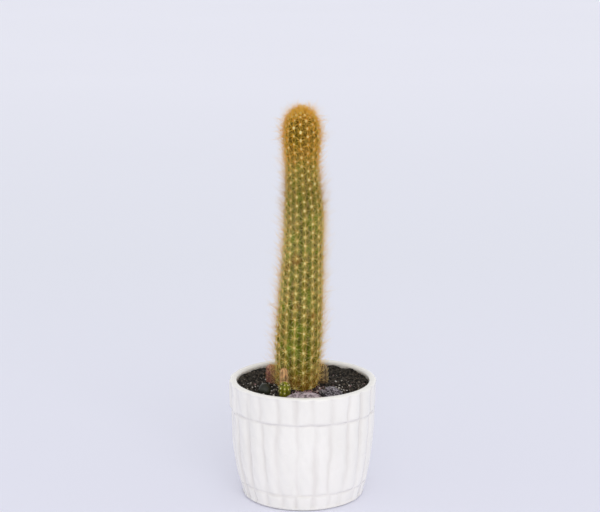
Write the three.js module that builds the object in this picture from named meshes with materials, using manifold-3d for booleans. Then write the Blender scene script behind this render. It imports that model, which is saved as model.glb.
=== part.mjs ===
// A potted columnar cactus: a ribbed, golden-spined stem with four small offsets at its foot,
// three stones on dark soil, in a white glazed pot carved like a barrel of staves.
// Millimetres, +Z up. The origin is on the pot's axis, on the surface that the pot stands on.
// The front of the plant faces -Y.

import * as THREE from "three";
import * as BufferGeometryUtils from "three/addons/utils/BufferGeometryUtils.js";
import Module from "manifold-3d";

const wasm = await Module();
wasm.setup();

// Pot
const RIM_RADIUS = 60;
const POT_HEIGHT = 96;
const BELLY_RADIUS = 58.4;
const BELLY_Z = 66;
const FOOT_CURVE_RADIUS = 49.2;
const FOOT_CURVE_POWER = 2.1;
const FOOT_OUTER_RADIUS = 46.5;
const FOOT_CORNER_Z = 3;
const COLLAR = 0.8;
const RIM_FLARE = 0.8;
const WALL = 5;
const LIP_ROUND = 2.4;
const FOOT_INNER_RADIUS = 41;
const FOOT_HEIGHT = 1.5;
const FLOOR_TOP = 7;
const FLOOR_CORNER = 3;
const STAVES = 24;
const GROOVE_DEPTH = 1.1;
const GROOVE_HALF_ANGLE = THREE.MathUtils.degToRad(2.1);
const UPPER_RING_Z = 73.5;
const LOWER_RING_Z = 13;
const RING_DEPTH = 1.2;
const RING_HALF_WIDTH = 1.9;

// Soil
const SOIL_Z = 90;
const SOIL_COLUMNS = 48;
const GAP = 0.3;
// The soil's flat sides cut across the pot's finer curve, so they stand this much further in
const FACET_ROOM = 0.1;

// Stem: height above the table and radius over the rib crests
const STEM_PROFILE = [
  [72, 15.8], [90, 16], [105, 16.6], [123, 17.3], [140, 17.4], [160, 16.9], [182, 16], [206, 15.1],
  [230, 14.8], [246, 13.6], [260, 12.5], [275, 12.4], [290, 13.9], [298, 13.6], [305.5, 11.8],
  [310, 8.6], [312.6, 4.6], [313.4, 0],
];
// The stem's centre line as height, sideways offset and offset towards the back
const STEM_AXIS = [
  [72, -4.3, 0], [91, -4.2, 0], [120, -3.4, 0.3], [162, -1.9, 0.8], [223, 0.7, 0.6], [266, -0.7, 0],
  [290, -0.7, -0.2], [314, -1.4, 0],
];
const STEM_RIBS = 15;
const RIB_DEPTH = 2;
// The ribs wind a little round the stem: degrees for each millimetre of height, none at this height
const RIB_TWIST = -0.1;
const UNTWISTED_Z = 260;
const FIRST_AREOLE_Z = 96;
const AREOLE_SPACING_LOW = 8.4;
const AREOLE_SPACING_HIGH = 7;
const SPINE_LENGTH = 5.4;
const SPINE_TILT = THREE.MathUtils.degToRad(46);
const SPINE_SPREAD = THREE.MathUtils.degToRad(48);

// Offsets: place, radius, top and number of ribs
const OFFSETS = {
  offset_left: { x: -26.2, y: 8, radius: 4, top: 105, ribs: 8, spacing: 4.2, colour: 0x8c5a3c },
  offset_tan: { x: -15.2, y: -19.2, radius: 3.7, top: 109.6, ribs: 7, spacing: 4.6, colour: 0xb98a55 },
  offset_green: { x: -14.6, y: -28.9, radius: 4.7, top: 101, ribs: 8, spacing: 3.4, colour: 0x7f9a3a },
  offset_right: { x: 16.6, y: 8, radius: 4.1, top: 105, ribs: 7, spacing: 4.2, colour: 0x8a7a45 },
};
const OFFSET_DEPTH = 8;
const OFFSET_SPINE_LENGTH = 1.7;

// Stones: centre and half sizes along X, Y and Z, turned about Z
const STONES = {
  stone_pale: { centre: [1.1, -41, 90.4], half: [15, 7.8, 5.2], turn: 0.05, colour: 0xa9a4b4 },
  stone_dark: { centre: [21.6, -29, 91.2], half: [9.4, 7.2, 5.4], turn: -0.3, colour: 0x4a4450 },
  stone_green: { centre: [-30.5, -27, 93.2], half: [5.3, 5.6, 6.2], turn: 0.4, colour: 0x4c5347 },
};
const STONE_DETAIL = 1;

const TURN = Math.PI * 2;
const lerp = THREE.MathUtils.lerp;

// Repeatable random numbers, so that every build gives the same plant
function seededRandom(seed) {
  let state = seed;
  return () => {
    state = (state * 1664525 + 1013904223) % 4294967296;
    return state / 4294967296;
  };
}

// A direction in plan: azimuth 0 is the front and a positive azimuth goes to the right
function outward(azimuth) {
  return new THREE.Vector3(Math.sin(azimuth), -Math.cos(azimuth), 0);
}

// Reads a curve given as rows of height and values, smoothed between the rows
function smoothTable(rows) {
  const curve = new THREE.CatmullRomCurve3(
    rows.map(([height, first, second = 0]) => new THREE.Vector3(first, second, height)),
  );
  const samples = curve.getPoints(rows.length * 12);
  return (height) => {
    const after = samples.findIndex((sample) => sample.z > height);
    if (after === 0) return samples[0];
    if (after < 0) return samples[samples.length - 1];
    const low = samples[after - 1];
    const high = samples[after];
    return low.clone().lerp(high, (height - low.z) / (high.z - low.z));
  };
}

function geometryFrom(points, faces) {
  const geometry = new THREE.BufferGeometry();
  const values = points.flatMap((point) => [point.x, point.y, point.z]);
  geometry.setAttribute("position", new THREE.Float32BufferAttribute(values, 3));
  geometry.setIndex(faces.flat());
  return geometry;
}

// A closed body from rings of equally many points, with a centre point at each end
function ringBody(rings, firstCentre, lastCentre) {
  const columns = rings[0].length;
  const points = rings.flat();
  const first = points.push(firstCentre) - 1;
  const last = points.push(lastCentre) - 1;
  const lastRing = (rings.length - 1) * columns;
  const faces = [];
  for (let column = 0; column < columns; column += 1) {
    const next = (column + 1) % columns;
    faces.push([first, next, column]);
    faces.push([last, lastRing + column, lastRing + next]);
    for (let ring = 0; ring < rings.length - 1; ring += 1) {
      const low = ring * columns;
      const high = low + columns;
      faces.push([low + column, low + next, high + next]);
      faces.push([low + column, high + next, high + column]);
    }
  }
  return geometryFrom(points, faces);
}

function toManifold(geometry) {
  const bare = geometry.clone();
  bare.deleteAttribute("normal");
  bare.deleteAttribute("uv");
  const merged = BufferGeometryUtils.mergeVertices(bare, 1e-4);
  return new wasm.Manifold(
    new wasm.Mesh({
      numProp: 3,
      vertProperties: new Float32Array(merged.attributes.position.array),
      triVerts: new Uint32Array(merged.index.array),
    }),
  );
}

function toGeometry(manifold) {
  const mesh = manifold.getMesh();
  const geometry = new THREE.BufferGeometry();
  geometry.setAttribute("position", new THREE.BufferAttribute(new Float32Array(mesh.vertProperties), 3));
  geometry.setIndex(new THREE.BufferAttribute(new Uint32Array(mesh.triVerts), 1));
  return geometry;
}

// The pot's outer radius without its carving: bowed in towards the foot, nearly upright above
function barrelRadius(z) {
  const drop = 1 - THREE.MathUtils.clamp(z / BELLY_Z, 0, 1);
  const collar = z > UPPER_RING_Z ? COLLAR : 0;
  const flare = RIM_FLARE * THREE.MathUtils.clamp((z - 60) / (POT_HEIGHT - 60), 0, 1);
  return lerp(BELLY_RADIUS, FOOT_CURVE_RADIUS, drop ** FOOT_CURVE_POWER) + collar + flare;
}

// The groove between two staves wanders a little, and shifts from one tier to the next
function grooveAzimuth(stave, z) {
  const tier = (z > LOWER_RING_Z ? 1 : 0) + (z > UPPER_RING_Z ? 1 : 0);
  const even = ((stave + 0.5) / STAVES) * TURN;
  const wander = 1.3 * Math.sin(stave * 2.4 + tier * 2.1) + 0.6 * Math.sin(z / 9 + stave * 1.7);
  return even + THREE.MathUtils.degToRad(wander + 1.6 - 2.6 * Math.sin(even));
}

// One ring round the outside of the pot: each stave has its groove and a shoulder on either side
function staveRing(radius, z, carving) {
  const ring = [];
  for (let stave = 0; stave < STAVES; stave += 1) {
    const groove = grooveAzimuth(stave, z);
    const shoulder = radius + 0.15 * Math.sin(stave * 3.1);
    ring.push(outward(groove - GROOVE_HALF_ANGLE).multiplyScalar(shoulder).setZ(z));
    ring.push(outward(groove).multiplyScalar(radius - GROOVE_DEPTH * carving).setZ(z));
    ring.push(outward(groove + GROOVE_HALF_ANGLE).multiplyScalar(radius).setZ(z));
  }
  return ring;
}

function plainRing(radius, z, columns = STAVES * 3) {
  const ring = [];
  for (let column = 0; column < columns; column += 1) {
    ring.push(outward(((column + 0.5) / columns) * TURN).multiplyScalar(radius).setZ(z));
  }
  return ring;
}

// The inner wall follows the barrel and stays plain behind the collar
function innerRadius(z) {
  return barrelRadius(z) - WALL - (z > UPPER_RING_Z ? COLLAR : 0);
}

function potGeometry() {
  const rings = [
    plainRing(FOOT_INNER_RADIUS - 1, FOOT_HEIGHT),
    plainRing(FOOT_INNER_RADIUS, 0),
    plainRing(FOOT_OUTER_RADIUS, 0),
    staveRing(barrelRadius(FOOT_CORNER_Z) - 0.4, FOOT_CORNER_Z, 0.6),
  ];
  const ringGroove = (z) => {
    rings.push(staveRing(barrelRadius(z - RING_HALF_WIDTH), z - RING_HALF_WIDTH, 1));
    rings.push(staveRing(barrelRadius(z) - RING_DEPTH, z, 0.4));
    rings.push(staveRing(barrelRadius(z + RING_HALF_WIDTH), z + RING_HALF_WIDTH, 1));
  };
  ringGroove(LOWER_RING_Z);
  for (const z of [28, 43, 58]) {
    rings.push(staveRing(barrelRadius(z), z, 1));
  }
  ringGroove(UPPER_RING_Z);
  rings.push(staveRing(RIM_RADIUS - 0.1, POT_HEIGHT - 9, 1));
  rings.push(staveRing(RIM_RADIUS, POT_HEIGHT - LIP_ROUND, 0.5));
  rings.push(plainRing(RIM_RADIUS - LIP_ROUND * 0.7, POT_HEIGHT));
  rings.push(plainRing(RIM_RADIUS - WALL + LIP_ROUND * 0.5, POT_HEIGHT));
  for (const z of [POT_HEIGHT - LIP_ROUND, 58, 30]) {
    rings.push(plainRing(innerRadius(z), z));
  }
  rings.push(plainRing(innerRadius(FLOOR_TOP) - FLOOR_CORNER, FLOOR_TOP));
  return ringBody(rings, new THREE.Vector3(0, 0, FOOT_HEIGHT), new THREE.Vector3(0, 0, FLOOR_TOP));
}

// Low clods on the soil's surface
function soilHeight(x, y) {
  return SOIL_Z + 0.8 * Math.sin(x / 6.1 + 1) * Math.cos(y / 5.3) + 0.4 * Math.sin((x - y) / 3.7);
}

// The soil fills the pot, with a plain hole for the stem and for each offset and a dent for each stone
function soilSolid() {
  const fill = (z) => innerRadius(z) - GAP - FACET_ROOM;
  const rings = [
    plainRing(fill(FLOOR_TOP) - FLOOR_CORNER, FLOOR_TOP + GAP, SOIL_COLUMNS),
    plainRing(fill(30), 30, SOIL_COLUMNS),
    plainRing(fill(58), 58, SOIL_COLUMNS),
  ];
  for (const share of [1, 0.84, 0.68, 0.52, 0.36, 0.18]) {
    const ring = plainRing(fill(SOIL_Z) * share, 0, SOIL_COLUMNS);
    rings.push(ring.map((point) => point.setZ(soilHeight(point.x, point.y))));
  }
  const top = new THREE.Vector3(0, 0, soilHeight(0, 0));
  let soil = toManifold(ringBody(rings, new THREE.Vector3(0, 0, FLOOR_TOP + GAP), top));
  const bore = (x, y, radius, bottom) => {
    const hole = new THREE.CylinderGeometry(radius, radius, POT_HEIGHT - bottom, 24);
    hole.rotateX(Math.PI / 2);
    hole.translate(x, y, (POT_HEIGHT + bottom) / 2);
    soil = soil.subtract(toManifold(hole));
  };
  const [rootZ, rootX, rootY] = STEM_AXIS[0];
  bore(rootX, rootY, STEM_PROFILE[1][1] + 2 * GAP, rootZ - GAP);
  for (const offset of Object.values(OFFSETS)) {
    bore(offset.x, offset.y, offset.radius + 0.35, SOIL_Z - OFFSET_DEPTH - GAP);
  }
  for (const stone of Object.values(STONES)) {
    soil = soil.subtract(toManifold(stoneGeometry(stone, GAP)));
  }
  return soil;
}

// A water-worn pebble, grown by a margin where it makes its own dent in the soil
function stoneGeometry(stone, margin = 0) {
  const geometry = new THREE.IcosahedronGeometry(1, STONE_DETAIL);
  const position = geometry.attributes.position;
  for (let index = 0; index < position.count; index += 1) {
    const point = new THREE.Vector3().fromBufferAttribute(position, index);
    const swell = 1 + 0.05 * Math.sin(point.x * 3.1 + stone.turn * 9) + 0.04 * Math.cos(point.y * 4.3);
    stone.half.forEach((half, axis) => {
      point.setComponent(axis, point.getComponent(axis) * (half * swell + margin));
    });
    position.setXYZ(index, point.x, point.y, point.z);
  }
  geometry.rotateZ(stone.turn);
  geometry.translate(...stone.centre);
  return geometry;
}

// Joins two rows of points that run side by side up a rib with a strip of triangles
function strip(left, right, faces) {
  let l = 0;
  let r = 0;
  while (l < left.length - 1 || r < right.length - 1) {
    const leftNext = l < left.length - 1 ? left[l + 1].along : Infinity;
    const rightNext = r < right.length - 1 ? right[r + 1].along : Infinity;
    if (leftNext < rightNext) {
      faces.push([left[l].index, right[r].index, left[l + 1].index]);
      l += 1;
    } else {
      faces.push([left[l].index, right[r].index, right[r + 1].index]);
      r += 1;
    }
  }
}

// A ribbed body of revolution on a bent axis. Each rib carries areoles, and each areole is a raised
// point whose four sides are drawn out into spines.
function cactusGeometry(plant) {
  const random = seededRandom(plant.seed);
  const profile = new THREE.SplineCurve(plant.profile.map(([z, radius]) => new THREE.Vector2(radius, z)));
  profile.arcLengthDivisions = 600;
  const length = profile.getLength();
  const points = [];
  const faces = [];

  const place = (azimuth, along, inset = 0) => {
    const share = THREE.MathUtils.clamp(along / length, 0, 1);
    const spot = profile.getPointAt(share);
    const run = profile.getTangentAt(share);
    const turned = azimuth + plant.twist(spot.y);
    const across = outward(turned);
    const normal = across.clone().multiplyScalar(run.y).setZ(-run.x).normalize();
    const centre = plant.axis(spot.y);
    const point = across.multiplyScalar(spot.x).setZ(spot.y);
    point.x += centre.x;
    point.y += centre.y;
    return { point: point.addScaledVector(normal, -inset), normal, radius: spot.x, turned };
  };
  const add = (point, along = 0) => ({ index: points.push(point) - 1, along });

  // A spine on one triangle of the body, kept short enough to clear the spines and things beside it
  const taken = [];
  const room = plant.spineLength * 0.14;
  const spine = (corners, direction, reach) => {
    const root = new THREE.Vector3();
    corners.forEach((corner) => root.addScaledVector(points[corner.index], 1 / 3));
    const along = (size) => root.clone().addScaledVector(direction, size);
    const samples = (size) => [0.4, 0.55, 0.7, 0.85, 1].map((share) => along(size * share));
    const isFree = (point) => plant.isClear(point) && taken.every((other) => other.distanceTo(point) > room);
    let size = reach;
    while (size > 0.4 && !samples(size).every(isFree)) {
      size *= 0.85;
    }
    taken.push(...samples(size));
    const tip = add(along(size));
    corners.forEach((corner, side) => {
      faces.push([corner.index, corners[(side + 1) % 3].index, tip.index]);
    });
  };

  // Distances along the profile at which the areoles of a rib sit
  const steps = [plant.firstAreole];
  while (steps[steps.length - 1] < length) {
    const here = steps[steps.length - 1];
    steps.push(here + plant.spacing(here, length));
  }
  const stepAt = (count) => {
    const whole = Math.floor(count);
    return whole + 1 < steps.length ? lerp(steps[whole], steps[whole + 1], count - whole) : Infinity;
  };
  const crownStart = length - plant.crown;
  const pitch = TURN / plant.ribs;
  const stagger = (rib) => ((rib * 7) / plant.ribs) % 1;

  const areole = (azimuth, along) => {
    const here = place(azimuth, along);
    const wide = Math.min(plant.areole, here.radius * pitch * 0.3) / here.radius;
    const tall = plant.areole * 1.2;
    const bottom = add(place(azimuth, along - tall).point, along - tall);
    const top = add(place(azimuth, along + tall).point, along + tall);
    const left = add(place(azimuth - wide, along, plant.areole * 0.25).point, along);
    const right = add(place(azimuth + wide, along, plant.areole * 0.25).point, along);
    const centre = add(here.point.clone().addScaledVector(here.normal, plant.areole * 0.6));
    const side = outward(here.turned + Math.PI / 2);
    const up = new THREE.Vector3().crossVectors(here.normal, side).negate().normalize();
    if (up.z < 0) up.negate();
    const quarters = [[bottom, right, 1, -1], [right, top, 1, 1], [top, left, -1, 1], [left, bottom, -1, -1]];
    for (const [from, to, sideways, upward] of quarters) {
      const spread = SPINE_SPREAD + (random() - 0.5) * 0.3;
      const tilt = SPINE_TILT + (random() - 0.5) * 0.2;
      const direction = side.clone().multiplyScalar(sideways * Math.cos(spread));
      direction.addScaledVector(up, upward * Math.sin(spread)).multiplyScalar(Math.sin(tilt));
      direction.addScaledVector(here.normal, Math.cos(tilt));
      spine([centre, from, to], direction, plant.spineLength * (0.9 + 0.25 * random()));
    }
    return { bottom, left, right, top };
  };

  // Every rib gives the row of points along its left side and the row along its right side
  const crests = [];
  const valleys = [];
  for (let rib = 0; rib < plant.ribs; rib += 1) {
    const azimuth = rib * pitch;
    const valleyAzimuth = azimuth + pitch / 2;
    const foot = add(place(azimuth, 0).point, 0);
    const left = [foot];
    const right = [foot];
    const depth = (along) => Math.min(plant.ribDepth, place(azimuth, along).radius * 0.14);
    const valley = [add(place(valleyAzimuth, 0, depth(0)).point, 0)];
    for (let count = 0; stepAt(count + stagger(rib)) < crownStart; count += 1) {
      const spot = areole(azimuth, stepAt(count + stagger(rib)));
      left.push(spot.bottom, spot.left, spot.top);
      right.push(spot.bottom, spot.right, spot.top);
      const low = stepAt(count + stagger(rib) + 0.23);
      if (low < crownStart) {
        valley.push(add(place(valleyAzimuth, low, depth(low)).point, low));
      }
    }
    const head = add(place(azimuth, length - plant.crown / 2).point, length - plant.crown / 2);
    left.push(head);
    right.push(head);
    valley.push(add(place(valleyAzimuth, length - plant.crown / 2, 0.3).point, length - plant.crown / 2));
    crests.push({ left, right });
    valleys.push(valley);
  }
  const foot = add(new THREE.Vector3(plant.axis(0).x, plant.axis(0).y, plant.profile[0][0]));
  const apex = add(place(0, length).point);
  for (let rib = 0; rib < plant.ribs; rib += 1) {
    const next = crests[(rib + 1) % plant.ribs];
    const crest = crests[rib];
    const valley = valleys[rib];
    strip(crest.right, valley, faces);
    strip(valley, next.left, faces);
    faces.push([foot.index, valley[0].index, crest.left[0].index]);
    faces.push([foot.index, next.left[0].index, valley[0].index]);
    const crown = [crest.right.at(-1), valley.at(-1), next.left.at(-1)];
    for (const [from, to] of [[crown[0], crown[1]], [crown[1], crown[2]]]) {
      const lean = points[from.index].clone().sub(points[apex.index]).setZ(0).multiplyScalar(0.12);
      spine([apex, from, to], lean.setZ(1).normalize(), plant.spineLength * (0.8 + 0.35 * random()));
    }
  }
  return geometryFrom(points, faces);
}

// What a spine of one plant has to keep clear of: the other stems, the soil and the stones
function clearance(name) {
  return (tip) => {
    if (tip.z < SOIL_Z + 1.6) return false;
    for (const [other, offset] of Object.entries(OFFSETS)) {
      const reach = offset.radius + (name === "stem" ? OFFSET_SPINE_LENGTH : 0) + 0.5;
      const near = Math.hypot(tip.x - offset.x, tip.y - offset.y) < reach;
      if (other !== name && near && tip.z < offset.top + 3) return false;
    }
    if (name !== "stem") {
      const room = Math.hypot(tip.x - STEM_AXIS[1][1], tip.y);
      if (room < STEM_PROFILE[2][1] + 0.6) return false;
    }
    return Object.values(STONES).every(({ centre, half }) => {
      const offset = half.map((size, axis) => (tip.getComponent(axis) - centre[axis]) / (size + 1));
      return Math.hypot(...offset) > 1;
    });
  };
}

function stemGeometry() {
  const stemAxis = smoothTable(STEM_AXIS);
  return cactusGeometry({
    seed: 11,
    profile: STEM_PROFILE,
    axis: stemAxis,
    twist: (z) => THREE.MathUtils.degToRad(RIB_TWIST * (z - UNTWISTED_Z)),
    ribs: STEM_RIBS,
    ribDepth: RIB_DEPTH,
    firstAreole: FIRST_AREOLE_Z - STEM_PROFILE[0][0],
    spacing: (along, length) => {
      const usual = lerp(AREOLE_SPACING_LOW, AREOLE_SPACING_HIGH, THREE.MathUtils.smoothstep(along, 30, 90));
      return usual * lerp(1, 0.6, THREE.MathUtils.smoothstep(along, length - 22, length));
    },
    crown: 7,
    areole: 0.65,
    spineLength: SPINE_LENGTH,
    isClear: clearance("stem"),
  });
}

function offsetGeometry(name, seed) {
  const { x, y, radius, top, ribs, spacing } = OFFSETS[name];
  const bottom = SOIL_Z - OFFSET_DEPTH;
  const shoulder = top - radius;
  return cactusGeometry({
    seed,
    profile: [
      [bottom, radius * 0.92], [SOIL_Z, radius * 0.97], [lerp(SOIL_Z, shoulder, 0.6), radius],
      [shoulder + radius * 0.3, radius * 0.9], [top - radius * 0.2, radius * 0.55], [top, 0],
    ],
    axis: () => new THREE.Vector3(x, y, 0),
    twist: () => 0,
    ribs,
    ribDepth: radius * 0.14,
    firstAreole: OFFSET_DEPTH + 2.6,
    spacing: () => spacing,
    crown: 3.4,
    areole: 0.38,
    spineLength: OFFSET_SPINE_LENGTH,
    isClear: clearance(name),
  });
}

function addPart(group, name, geometry, colour, roughness) {
  const material = new THREE.MeshStandardMaterial({ color: colour, roughness, metalness: 0 });
  const mesh = new THREE.Mesh(geometry, material);
  mesh.name = name;
  group.add(mesh);
}

const cactus = new THREE.Group();
addPart(cactus, "pot", potGeometry(), 0xf0efee, 0.2);
addPart(cactus, "soil", toGeometry(soilSolid()), 0x2a211c, 0.95);
addPart(cactus, "stem", stemGeometry(), 0x94823f, 0.75);
Object.keys(OFFSETS).forEach((name, index) => {
  addPart(cactus, name, offsetGeometry(name, 31 + index), OFFSETS[name].colour, 0.7);
});
for (const [name, stone] of Object.entries(STONES)) {
  addPart(cactus, name, stoneGeometry(stone), stone.colour, 0.6);
}

export default cactus;
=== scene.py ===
from collections import namedtuple
import math

import bmesh
import bpy
import numpy as np
from mathutils import Matrix, Vector, noise


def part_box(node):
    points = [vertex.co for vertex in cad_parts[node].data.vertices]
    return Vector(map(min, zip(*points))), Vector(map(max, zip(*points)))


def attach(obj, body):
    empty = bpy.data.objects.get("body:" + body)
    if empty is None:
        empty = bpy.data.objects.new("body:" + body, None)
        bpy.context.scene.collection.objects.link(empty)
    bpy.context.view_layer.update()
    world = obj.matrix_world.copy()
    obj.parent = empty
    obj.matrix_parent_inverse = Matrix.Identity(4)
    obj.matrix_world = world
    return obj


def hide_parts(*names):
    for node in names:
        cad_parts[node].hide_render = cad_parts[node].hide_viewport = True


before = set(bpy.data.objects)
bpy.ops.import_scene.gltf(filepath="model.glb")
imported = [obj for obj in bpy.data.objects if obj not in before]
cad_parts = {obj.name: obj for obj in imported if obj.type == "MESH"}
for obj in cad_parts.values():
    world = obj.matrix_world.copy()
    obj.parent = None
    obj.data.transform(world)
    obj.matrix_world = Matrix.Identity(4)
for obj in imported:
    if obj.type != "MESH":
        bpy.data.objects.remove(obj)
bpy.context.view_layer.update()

# A potted columnar cactus: a ribbed, golden-spined stem with four offsets at its foot, three stones on
# dark soil, and a white glazed pot carved like a barrel of staves. Sizes here are in millimetres and
# are turned into metres where a mesh is made. The front of the plant faces -Y.

MM = 0.001
TURN = 2 * math.pi
GOLDEN_ANGLE = math.pi * (3 - math.sqrt(5))

# Pot, as in the frame
RIM_RADIUS = 60
POT_HEIGHT = 96
BELLY_RADIUS = 58.4
BELLY_Z = 66
FOOT_CURVE_RADIUS = 49.2
FOOT_CURVE_POWER = 2.1
FOOT_OUTER_RADIUS = 46.5
FOOT_INNER_RADIUS = 41
FOOT_HEIGHT = 1.5
FOOT_CORNER_Z = 3
COLLAR = 0.8
COLLAR_EDGE = 1.2
RIM_FLARE = 0.8
FLARE_FROM_Z = 60
WALL = 5.8
LIP_ROUND = 2.4
FLOOR_TOP = 7
FLOOR_CORNER = 3
STAVES = 24
GROOVE_DEPTH = 0.6
GROOVE_WIDTH = 1.9
STAVE_ROUNDING = 1.1
STAVE_UNEVENNESS = 0.8
# How far the grooves stand from an even spacing, in degrees: each by itself, all alike, and most at the sides
GROOVE_WANDER = 1.3
GROOVE_SHIFT = 1.6
GROOVE_CROWDING = 2.6
NOTCHES = 70
UPPER_RING_Z = 73.5
LOWER_RING_Z = 13
RING_DEPTH = 0.6
RING_WIDTH = 1.5
# The upper ring was cut by hand and dips this much at the sides
RING_DIP = 1.4
POT_COLUMNS = 480

# Soil
SOIL_Z = 90
SOIL_RADIUS = 52.9
# The soil is banked up against the wall by this much, from this radius outwards
SOIL_BANK = 2.4
BANK_RADIUS = 43
# Heights and radii of its side, as in the frame
SOIL_SIDE = [(7.3, 41.8), (30, 49.3), (58, 52.2), (80, 52.9)]
# Where the stem stands in it
STEM_FOOT_X = -4.2
STEM_FOOT_RADIUS = 16.1
CRUMBS = 1700
WHITE_GRAINS = 220
GRIT_GRAINS = 230
# White grains that the photograph shows: place and radius
PERLITE_SEEN = [
    (-40.7, -8.5, 0.9), (-26.2, -27.8, 1.0), (-23.4, -31.9, 1.3), (13.5, -13.2, 1.0), (29.6, -2.8, 0.8),
    (26.6, -8.5, 0.9), (35.2, -18.2, 1.0),
]
# Where the brown grit is thickest, and how far it spreads
GRIT_PLACE = (4, -19)
GRIT_SPREAD = 11

# Stem, as in the frame to within a millimetre: height and radius over the rib crests, then height and the
# centre line's offsets
STEM_PROFILE = [
    (72, 15.8), (90, 16.4), (105, 17.1), (123, 17.8), (140, 17.6), (160, 16.9), (182, 16), (206, 15.1),
    (230, 14.8), (246, 13.6), (260, 12.4), (276, 12.2), (287, 13.6), (298, 13.3), (305.5, 11.6),
    (310, 8.4), (312.6, 4.6), (313.4, 0),
]
STEM_AXIS = [
    (72, -4.7, 0), (91, -4.6, 0), (120, -3.9, 0.3), (162, -1.9, 0.8), (223, 0.7, 0.6), (266, -0.7, 0),
    (290, -1.0, -0.2), (314, -1.4, 0),
]
STEM_RIBS = 15
RIB_DEPTH = 2
RIB_TWIST = -0.1
UNTWISTED_Z = 260
# The spines turn from straw to orange between these heights
WARM_FROM_Z = 240
WARM_TO_Z = 290
# They are dullest round this height
DULL_Z = 246
DULL_WIDTH = 25
DULLNESS = 0.82
HEAD_Z = 272
FIRST_AREOLE_Z = 96
AREOLE_SPACING_LOW = 8.4
AREOLE_SPACING_HIGH = 7

# Old parts of the stem are brown: its foot up to a height, its neck round one, and scars, which are given by
# azimuth in degrees, height and radius
WORN_FOOT_Z = 116
NECK_Z = 283
NECK_WIDTH = 9
SCARS = [
    (-19, 196, 4.2), (-2, 283, 3), (40, 150, 3), (104, 236, 4), (168, 182, 5), (-120, 256, 4), (-95, 140, 5),
]
# They are measured on an upright cylinder with this middle and radius
STEM_MEAN_X = -1.5
STEM_MEAN_RADIUS = 15.5
DEGREES_IN_RADIAN = 57.3

# Kinds of needle: number on an areole; lean in degrees, length, radius and tone, each from the least to the
# most; whether an areole's needles share a tone; how far they bend any way, lean upwards and bend upwards;
# and how many segments they have
FIELDS = "number lean length radius tone shared bend upward rise segments"
Needles = namedtuple("Needles", FIELDS, defaults=(False, 0, 0, 0, 2))
BRISTLY = {"bend": 0.1, "upward": 0.5, "rise": 0.8, "segments": 3}
NEEDLES = {
    "stem_radial_spines": Needles(14, (66, 88), (3.4, 5.8), (0.17, 0.23), (0, 1), shared=True),
    "stem_head_radials": Needles(10, (66, 88), (3.4, 5.8), (0.17, 0.23), (0.45, 1), shared=True),
    "stem_central_spines": Needles(4, (38, 74), (3.6, 6.4), (0.15, 0.2), (0.2, 1), bend=0.05),
    "stem_head_spines": Needles(9, (24, 74), (4.2, 7.6), (0.15, 0.2), (0.5, 1), shared=True, bend=0.06),
    "stem_bristles": Needles(14, (10, 75), (5, 11.5), (0.065, 0.09), (0.5, 1), **BRISTLY),
    "stem_long_bristles": Needles(4, (25, 65), (8, 15.5), (0.07, 0.09), (0.5, 1), **BRISTLY),
    "offset_spines": Needles(11, (48, 84), (1.2, 2.2), (0.055, 0.08), (0.4, 1)),
}
# Bristles bend upwards fully below the first height and not at all above the second, to stay near the tip
RISE_FULL_Z = 284
RISE_NONE_Z = 304

# Offsets: place, radius, top, ribs and areole spacing, as in the frame
Offset = namedtuple("Offset", "x y radius top ribs spacing")
OFFSETS = {
    "offset_left": Offset(-26.2, 8, 4, 105, 8, 4.2),
    "offset_tan": Offset(-15.2, -19.2, 3.7, 109.6, 7, 4.6),
    "offset_green": Offset(-14.6, -28.9, 4.7, 101, 8, 3.4),
    "offset_right": Offset(16.6, 8, 4.1, 105, 7, 4.2),
}
OFFSET_DEPTH = 8

# Camera: it stands in front of the pot, a little to its left, and looks down on it
CAMERA_DISTANCE = 1248
CAMERA_HEIGHT = 462
CAMERA_X = -2.4
CAMERA_TILT = 12
CAMERA_LENS = 96
SENSOR_WIDTH = 36


# Small tools for meshes

def add_object(name, data):
    made = bpy.data.objects.new(name, data)
    bpy.context.scene.collection.objects.link(made)
    return made


def make_object(name, points, faces, material, smooth=True, values=None):
    """A mesh object from points in millimetres. values are named numbers, one for each point."""
    mesh = bpy.data.meshes.new(name)
    mesh.from_pydata((np.asarray(points) * MM).tolist(), [], faces)
    mesh.polygons.foreach_set("use_smooth", [smooth] * len(mesh.polygons))
    for key, numbers in (values or {}).items():
        layer = mesh.attributes.new(key, "FLOAT", "POINT")
        layer.data.foreach_set("value", np.asarray(numbers, dtype=np.float32))
    mesh.materials.append(material)
    mesh.update()
    made = add_object(name, mesh)
    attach(made, "root")
    return made


def ring_faces(rings, columns):
    """Faces of a closed body made of rings of points, followed by the middle points of its two ends."""
    first = rings * columns
    top = first - columns
    faces = []
    for column in range(columns):
        after = (column + 1) % columns
        faces.append((first, after, column))
        faces.append((first + 1, top + column, top + after))
    for ring in range(rings - 1):
        low = ring * columns
        high = low + columns
        for column in range(columns):
            after = (column + 1) % columns
            faces.append((low + column, low + after, high + after, high + column))
    return faces


def catmull_rom(rows, steps=40):
    """Points on the smooth curve through the rows."""
    rows = np.asarray(rows, dtype=float)
    points = []
    for index in range(len(rows) - 1):
        p0 = rows[max(index - 1, 0)]
        p1 = rows[index]
        p2 = rows[index + 1]
        p3 = rows[min(index + 2, len(rows) - 1)]
        v0 = (p2 - p0) / 2
        v1 = (p3 - p1) / 2
        for t in np.arange(steps) / steps:
            cubed = 2 * p1 - 2 * p2 + v0 + v1
            squared = 3 * p2 - 3 * p1 - 2 * v0 - v1
            points.append(cubed * t**3 + squared * t**2 + v0 * t + p1)
    points.append(rows[-1])
    return np.array(points)


def smoothstep(value, low, high):
    share = np.clip((value - low) / (high - low), 0, 1)
    return share * share * (3 - 2 * share)


def around(azimuth, radius):
    """The place at an azimuth, which is counted from the front."""
    return radius * math.sin(azimuth), -radius * math.cos(azimuth)


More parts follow.
